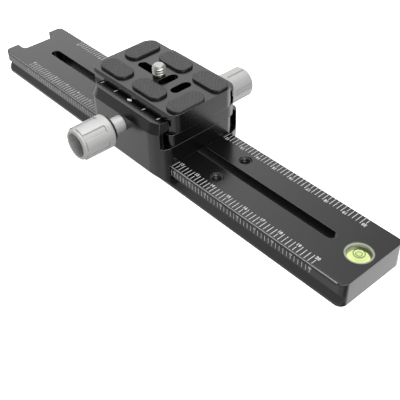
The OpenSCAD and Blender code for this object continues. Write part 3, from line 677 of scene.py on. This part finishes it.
def makeJawMarks(look):
    points, faces = [], []
    fall = math.tan(math.radians(look["slope"]))

    def addPlate(outline):
        start, n = len(points), len(outline)
        for rise in (-look["height"], look["height"]):
            for x, y in outline:
                points.append(Vector((x, y, look["rimZ"] - (y - look["rimY"]) * fall + rise)) * mm)
        faces.append(tuple(range(start + n - 1, start - 1, -1)))
        faces.append(tuple(range(start + n, start + 2 * n)))
        for i in range(n):
            j = (i + 1) % n
            faces.append((start + i, start + j, start + n + j, start + n + i))

    w, l = look["tick"][0] / 2, look["tick"][1] / 2
    for dx in look["reach"]:
        x, y = look["centreX"] + dx, look["middleY"]
        addPlate([(x - w, y - l), (x + w, y - l), (x + w, y + l), (x - w, y + l)])
    x, y = look["centreX"], look["middleY"]
    a, b = look["diamond"]
    addPlate([(x - a, y), (x, y - b), (x + a, y), (x, y + b)])
    marks = meshFrom("clampMarks", points, faces)
    addPiece("clampMarks", marks, "whiteMark", "carriage")


makeJawMarks(jawMarks)
print("clamp marks made")


# pads: crowned rubber with crossed ribs, each in the space of its solid

pads = {
    "names": ("pad_far_left", "pad_far_middle", "pad_far_right",
              "pad_near_left", "pad_near_middle", "pad_near_right"),
    "corner": 4.0, "cell": 0.16, "rimWidth": 0.5, "rimDrop": 0.2, "crown": 0.06, "smoothAngle": 50,
    "ribStep": 1.6, "ribDepth": 0.3, "ribTurn": 45.0, "fill": 0.9,
    "crossShare": 0.5,  # depth of the second set of grooves, of the first
    "groove": (0.27, 0.05),  # where a groove's wall starts and ends, in steps from its middle
}


def makeRibTree(look):
    # presses two crossed sets of grooves into the top, fading at the rim
    tree, given, made = geometryTree("padRibs", [
        ("Step", "NodeSocketFloat"), ("Depth", "NodeSocketFloat"), ("Turn", "NodeSocketFloat"),
        ("Finish", "NodeSocketMaterial")])
    position = newNode(tree, "GeometryNodeInputPosition")
    rim = newNode(tree, "GeometryNodeInputNamedAttribute", {"data_type": "FLOAT"}, {"Name": "rim"})
    parts = []
    brim, floor = look["groove"]
    for sign, share in ((1, 1.0), (-1, look["crossShare"])):
        angle = newNode(tree, "ShaderNodeMath", {"operation": "MULTIPLY"}, {1: float(sign)})
        turned = newNode(tree, "ShaderNodeVectorRotate", {"rotation_type": "Z_AXIS"})
        split = newNode(tree, "ShaderNodeSeparateXYZ")
        counted = newNode(tree, "ShaderNodeMath", {"operation": "DIVIDE"})
        wave = newNode(tree, "ShaderNodeMath", {"operation": "PINGPONG"}, {1: 0.5})
        flat = newNode(tree, "ShaderNodeMapRange", values={
            "From Min": brim, "From Max": floor, "To Min": 0.0, "To Max": share})
        tree.links.new(given.outputs["Turn"], angle.inputs[0])
        tree.links.new(position.outputs["Position"], turned.inputs["Vector"])
        tree.links.new(angle.outputs["Value"], turned.inputs["Angle"])
        tree.links.new(turned.outputs["Vector"], split.inputs["Vector"])
        tree.links.new(split.outputs["X"], counted.inputs[0])
        tree.links.new(given.outputs["Step"], counted.inputs[1])
        tree.links.new(counted.outputs["Value"], wave.inputs[0])
        tree.links.new(wave.outputs["Value"], flat.inputs["Value"])
        parts.append(flat.outputs["Result"])
    deeper = newNode(tree, "ShaderNodeMath", {"operation": "MAXIMUM"})
    faded = newNode(tree, "ShaderNodeMath", {"operation": "MULTIPLY"})
    depth = newNode(tree, "ShaderNodeMath", {"operation": "MULTIPLY"})
    down = newNode(tree, "ShaderNodeMath", {"operation": "MULTIPLY"}, {1: -1.0})
    offset = newNode(tree, "ShaderNodeCombineXYZ")
    press = newNode(tree, "GeometryNodeSetPosition")
    tree.links.new(parts[0], deeper.inputs[0])
    tree.links.new(parts[1], deeper.inputs[1])
    tree.links.new(deeper.outputs["Value"], faded.inputs[0])
    tree.links.new(rim.outputs["Attribute"], faded.inputs[1])
    tree.links.new(faded.outputs["Value"], depth.inputs[0])
    tree.links.new(given.outputs["Depth"], depth.inputs[1])
    tree.links.new(depth.outputs["Value"], down.inputs[0])
    tree.links.new(down.outputs["Value"], offset.inputs["Z"])
    tree.links.new(given.outputs["Geometry"], press.inputs["Geometry"])
    tree.links.new(offset.outputs["Vector"], press.inputs["Offset"])
    closeTree(tree, given, made, press.outputs["Geometry"])
    return tree


def padBody(name, low, high, look):
    r = look["corner"] * mm
    a, b = (high.x - low.x) / 2, (high.y - low.y) / 2
    cx, cy = (high.x + low.x) / 2, (high.y + low.y) / 2
    nx, ny = round(2 * a / (look["cell"] * mm)), round(2 * b / (look["cell"] * mm))
    points, rims, faces = [], [], []

    def rounded(u, v):
        # squeezes the square corner of the grid into the pad's round one
        x, y = abs(u) * a, abs(v) * b
        dx, dy = x - (a - r), y - (b - r)
        if dx > 0 and dy > 0:
            p, q = dx / r, dy / r
            dx, dy = dx * math.sqrt(1 - q * q / 2), dy * math.sqrt(1 - p * p / 2)
            x, y = a - r + dx, b - r + dy
        return math.copysign(x, u), math.copysign(y, v)

    def inset(x, y):
        dx, dy = abs(x) - (a - r), abs(y) - (b - r)
        return r - math.hypot(max(dx, 0), max(dy, 0)) - min(max(dx, dy), 0)

    for j in range(ny + 1):
        for i in range(nx + 1):
            x, y = rounded(2 * i / nx - 1, 2 * j / ny - 1)
            t = min(max(inset(x, y) / (look["rimWidth"] * mm), 0), 1)
            drop = look["rimDrop"] * (1 - math.sqrt(1 - (1 - t) ** 2))
            drop += look["crown"] * (x / a) ** 2 * (y / b) ** 2
            points.append((cx + x, cy + y, high.z - drop * mm))
            rims.append(t * t * (3 - 2 * t))
    for j in range(ny):
        for i in range(nx):
            k = j * (nx + 1) + i
            faces.append((k, k + 1, k + nx + 2, k + nx + 1))
    edge = list(range(nx + 1))
    edge += [j * (nx + 1) + nx for j in range(1, ny + 1)]
    edge += [ny * (nx + 1) + i for i in range(nx - 1, -1, -1)]
    edge += [j * (nx + 1) for j in range(ny - 1, 0, -1)]
    start, n = len(points), len(edge)
    for k in edge:
        points.append((points[k][0], points[k][1], low.z))
        rims.append(0.0)
    for i in range(n):
        faces.append((edge[(i + 1) % n], edge[i], start + i, start + (i + 1) % n))
    faces.append(tuple(range(start + n - 1, start - 1, -1)))
    mesh = bpy.data.meshes.new(name)
    mesh.from_pydata(points, [], faces)
    attribute = mesh.attributes.new("rim", "FLOAT", "POINT")
    attribute.data.foreach_set("value", rims)
    return mesh


def makePads(look):
    tree = makeRibTree(look)
    for node in look["names"]:
        low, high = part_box(node)
        name = pieceName(node, "Rubber")
        body = padBody(name, low, high, look)
        mesh = growMesh(tree, name, {
            "Step": look["ribStep"] * mm, "Depth": look["ribDepth"] * mm,
            "Turn": math.radians(look["ribTurn"]), "Finish": materials["padRubber"]}, body)
        smoothMesh(mesh, look["smoothAngle"])
        piece = addPiece(name, mesh, "padRubber", "quick_plate")
        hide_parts(node)


makePads(pads)
print("pads made")


# camera stud with its thread, and the threads of the two tapped holes

stud = {
    "centre": (-10.0, 2.1), "neckRadius": 2.3, "neckFoot": 29.6, "threadFoot": 37.4, "top": 42.0,
    "major": 3.175, "minor": 2.5, "pitch": 1.27, "chamfer": 0.9, "footChamfer": 0.3,
    "sides": 72, "layers": 110, "smoothAngle": 40,
}
tappedHoles = {
    "centres": ((40.5, -8.65), (40.5, 8.65)), "outer": 2.59, "major": 2.57, "minor": 2.2, "pitch": 1.27,
    "foot": 0.3, "top": 11.5, "sides": 48, "layers": 150, "smoothAngle": 40,
}
threadFlat = 0.12  # half of a crest or root, as a share of half a pitch


def threadWave(turns):
    # share of the thread's depth at a place along one pitch, with flat crests and roots
    t = abs(2 * (turns - math.floor(turns)) - 1)
    return min(max((t - threadFlat) / (1 - 2 * threadFlat), 0), 1)


def makeStud(look):
    cx, cy = look["centre"]
    sides, layers = look["sides"], look["layers"]
    rings = [(0.0, look["neckFoot"], False), (look["neckRadius"], look["neckFoot"], False),
             (look["neckRadius"], look["threadFoot"], False)]
    span = look["top"] - look["threadFoot"]
    for i in range(layers + 1):
        rings.append((None, look["threadFoot"] + span * i / layers, True))
    rings.append((0.0, look["top"], False))
    points, faces = [], []
    for r, z, cut in rings:
        for k in range(sides):
            a = 2 * math.pi * k / sides
            radius = r
            if cut:
                wave = threadWave(z / look["pitch"] - k / sides)
                radius = look["minor"] + (look["major"] - look["minor"]) * wave
                radius = min(radius, look["major"] - max(look["chamfer"] - (look["top"] - z), 0),
                             look["major"] - max(look["footChamfer"] - (z - look["threadFoot"]), 0))
            points.append(Vector((cx + radius * math.cos(a), cy + radius * math.sin(a), z)) * mm)
    for i in range(len(rings) - 1):
        for k in range(sides):
            n = (k + 1) % sides
            faces.append((i * sides + k, i * sides + n, (i + 1) * sides + n, (i + 1) * sides + k))
    mesh = meshFrom("cameraStud", points, faces, look["smoothAngle"])
    piece = addPiece("cameraStud", mesh, "studNickel", "camera_screw")
    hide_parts("camera_screw")


def makeTapThreads(look):
    meshes = []
    sides, layers = look["sides"], look["layers"]
    for cx, cy in look["centres"]:
        points, faces = [], []
        for i in range(layers + 1):
            z = look["foot"] + (look["top"] - look["foot"]) * i / layers
            for k in range(sides):
                a = 2 * math.pi * k / sides
                wave = threadWave(z / look["pitch"] - k / sides)
                r = look["major"] - (look["major"] - look["minor"]) * wave
                points.append(Vector((cx + r * math.cos(a), cy + r * math.sin(a), z)) * mm)
        for z in (look["top"], look["foot"]):
            for k in range(sides):
                a = 2 * math.pi * k / sides
                r = look["outer"]
                points.append(Vector((cx + r * math.cos(a), cy + r * math.sin(a), z)) * mm)
        for i in range(layers + 3):
            below, above = i, (i + 1) % (layers + 3)
            for k in range(sides):
                n = (k + 1) % sides
                faces.append((below * sides + k, below * sides + n, above * sides + n, above * sides + k))
        meshes.append(meshFrom("tapThread", points, faces, look["smoothAngle"]))
    addPiece("tapThreads", joinMeshes("tapThreads", meshes), "blackAnodised", "rail")


makeStud(stud)
makeTapThreads(tappedHoles)
print("threads made")


# bubble level: tinted fluid with a painted glow, wall with painted light and shade, domed lens, ring mark
# and bubble with a painted dark edge

level = {
    "centre": (112.0, 0.0), "fluidRadius": 5.22, "fluidFoot": 6.02, "fluidTop": 9.3,
    "dish": (0.8, 1.6, 0.06),  # the fluid dips from here to here inside the wall, by this much
    "wallTop": 10.4, "wallIn": (4.6, 4.95),  # inner radius at the floor and at the top
    "wallLift": 0.01,
    "shadedSide": (0.45, 0.89, 0.0), "litReach": 0.1, "litFade": 0.7,  # painted shade: dark green towards this side; painted light: lighter away from it
    "lensFoot": 10.5, "lensEdge": 11.45, "lensTop": 11.8, "lensRadius": 5.22, "lensSteps": 10,
    "ring": (2.35, 0.17, 11.72), "bubbleEdgeShade": (1.3, 0.12, 11.3),  # radius, wire, height
    "ringFlat": 0.6, "ringSides": 10,
    "bubble": (1.25, 0.3, 11.2), "bubbleShift": (-0.1, 0.1), "bubbleSteps": 16, "smoothAngle": 80,
}


def makeLevel(look):
    centre = look["centre"]
    r = look["fluidRadius"]
    low, top = look["wallIn"]
    dipStart, dipEnd, dip = look["dish"]
    fluid = lathe("levelFluid", centre, [
        (0, look["fluidFoot"]), (r, look["fluidFoot"]), (r, look["fluidTop"]),
        (low - dipStart, look["fluidTop"]), (low - dipEnd, look["fluidTop"] - dip),
        (0, look["fluidTop"] - dip)])
    piece = addPiece("levelFluid", fluid, "levelFluidTintAndGlow", "rail")
    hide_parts("level_fluid")
    wallFoot = look["fluidTop"] + look["wallLift"]
    wall = lathe("levelWall", centre, [
        (low, wallFoot), (r, wallFoot), (r, look["wallTop"]), (top, look["wallTop"])])
    # painted light and shade: lighter away from the shaded side, dark green towards it
    litShare = wall.attributes.new("paintedLitSide", "FLOAT", "POINT")
    for vertex, value in zip(wall.vertices, litShare.data):
        way = Vector((vertex.co.x / mm - centre[0], vertex.co.y / mm - centre[1], 0)).normalized()
        along = way.dot(Vector(look["shadedSide"])) + look["litReach"]
        shadeShare = min(max(along / look["litFade"], 0), 1)
        value.value = 1 - shadeShare * shadeShare * (3 - 2 * shadeShare)
    addPiece("levelWall", wall, "levelWallLitAndShaded", "rail")
    r = look["lensRadius"]
    rise = look["lensTop"] - look["lensEdge"]
    steps = look["lensSteps"]
    turns = [math.pi / 2 * i / steps for i in range(steps + 1)]
    dome = [(r * math.cos(a), look["lensEdge"] + rise * math.sin(a)) for a in turns]
    dome[-1] = (0, look["lensTop"])
    lens = lathe("levelLens", centre, [(0, look["lensFoot"]), (r, look["lensFoot"]), *dome])
    piece = addPiece("levelLens", lens, "levelLensClear", "rail")
    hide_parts("level_lens")
    shifted = (centre[0] + look["bubbleShift"][0], centre[1] + look["bubbleShift"][1])
    sides = look["ringSides"]
    turns = [2 * math.pi * i / sides for i in range(sides)]
    # the ring mark is print; the dark ring round the bubble is painted shade
    for name, place, key in (("levelRing", centre, "ring"), ("levelBubbleEdgeShade", shifted, "bubbleEdgeShade")):
        ringR, tube, z = look[key]
        circle = [(ringR + tube * math.cos(a), z + tube * look["ringFlat"] * math.sin(a)) for a in turns]
        ring = lathe(name, place, circle, smoothAngle=look["smoothAngle"])
        addPiece(name, ring, "levelInkAndBubbleShade", "rail")
    wide, high, z = look["bubble"]
    steps = look["bubbleSteps"]
    turns = [math.pi * i / steps - math.pi / 2 for i in range(steps + 1)]
    dome = [(wide * math.cos(a), z + high * math.sin(a)) for a in turns]
    dome[0], dome[-1] = (0, z - high), (0, z + high)
    bubble = lathe("levelBubble", shifted, dome, smoothAngle=look["smoothAngle"])
    addPiece("levelBubble", bubble, "levelBubbleAir", "rail")


makeLevel(level)
print("level made")


# springs between the carriage and each jaw

springs = {
    "coil": 2.38, "wire": 0.25, "turns": 3, "sides": 10, "steps": 40, "smoothAngle": 50,
    "each": [
        # node, jaw, x, z, first y, last y
        ("plate_jaw_spring", "plate_jaw", -5.7, 24.8, -21.7, -17.9),
        ("rail_jaw_spring", "rail_jaw", -4.2, 15.1, 21.0, 24.8),
    ],
}


def makeSpringTree():
    tree, given, made = geometryTree("coilSpring", [
        ("Turns", "NodeSocketFloat"), ("Length", "NodeSocketFloat"), ("Coil Radius", "NodeSocketFloat"),
        ("Wire Radius", "NodeSocketFloat"), ("Steps", "NodeSocketInt"), ("Wire Sides", "NodeSocketInt"),
        ("Place", "NodeSocketVector"), ("Finish", "NodeSocketMaterial")])
    spiral = newNode(tree, "GeometryNodeCurveSpiral")
    wire = newNode(tree, "GeometryNodeCurvePrimitiveCircle")
    tube = newNode(tree, "GeometryNodeCurveToMesh", values={"Fill Caps": True})
    laid = newNode(tree, "GeometryNodeTransform", values={"Rotation": (-math.pi / 2, 0, 0)})
    tree.links.new(given.outputs["Turns"], spiral.inputs["Rotations"])
    tree.links.new(given.outputs["Steps"], spiral.inputs["Resolution"])
    tree.links.new(given.outputs["Coil Radius"], spiral.inputs["Start Radius"])
    tree.links.new(given.outputs["Coil Radius"], spiral.inputs["End Radius"])
    tree.links.new(given.outputs["Length"], spiral.inputs["Height"])
    tree.links.new(given.outputs["Wire Radius"], wire.inputs["Radius"])
    tree.links.new(given.outputs["Wire Sides"], wire.inputs["Resolution"])
    tree.links.new(spiral.outputs["Curve"], tube.inputs["Curve"])
    tree.links.new(wire.outputs["Curve"], tube.inputs["Profile Curve"])
    tree.links.new(tube.outputs["Mesh"], laid.inputs["Geometry"])
    tree.links.new(given.outputs["Place"], laid.inputs["Translation"])
    closeTree(tree, given, made, laid.outputs["Geometry"])
    return tree


def makeSprings(look):
    tree = makeSpringTree()
    for node, jaw, x, z, y0, y1 in look["each"]:
        name = pieceName(node, "Coil")
        mesh = growMesh(tree, name, {
            "Turns": float(look["turns"]), "Length": (y1 - y0) * mm, "Coil Radius": look["coil"] * mm,
            "Wire Radius": look["wire"] * mm, "Steps": look["steps"], "Wire Sides": look["sides"],
            "Place": (x * mm, y0 * mm, z * mm), "Finish": materials["springWire"]})
        smoothMesh(mesh, look["smoothAngle"])
        piece = addPiece(name, mesh, "springWire", None)
        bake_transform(piece)
        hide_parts(node)


makeSprings(springs)
print("springs made")
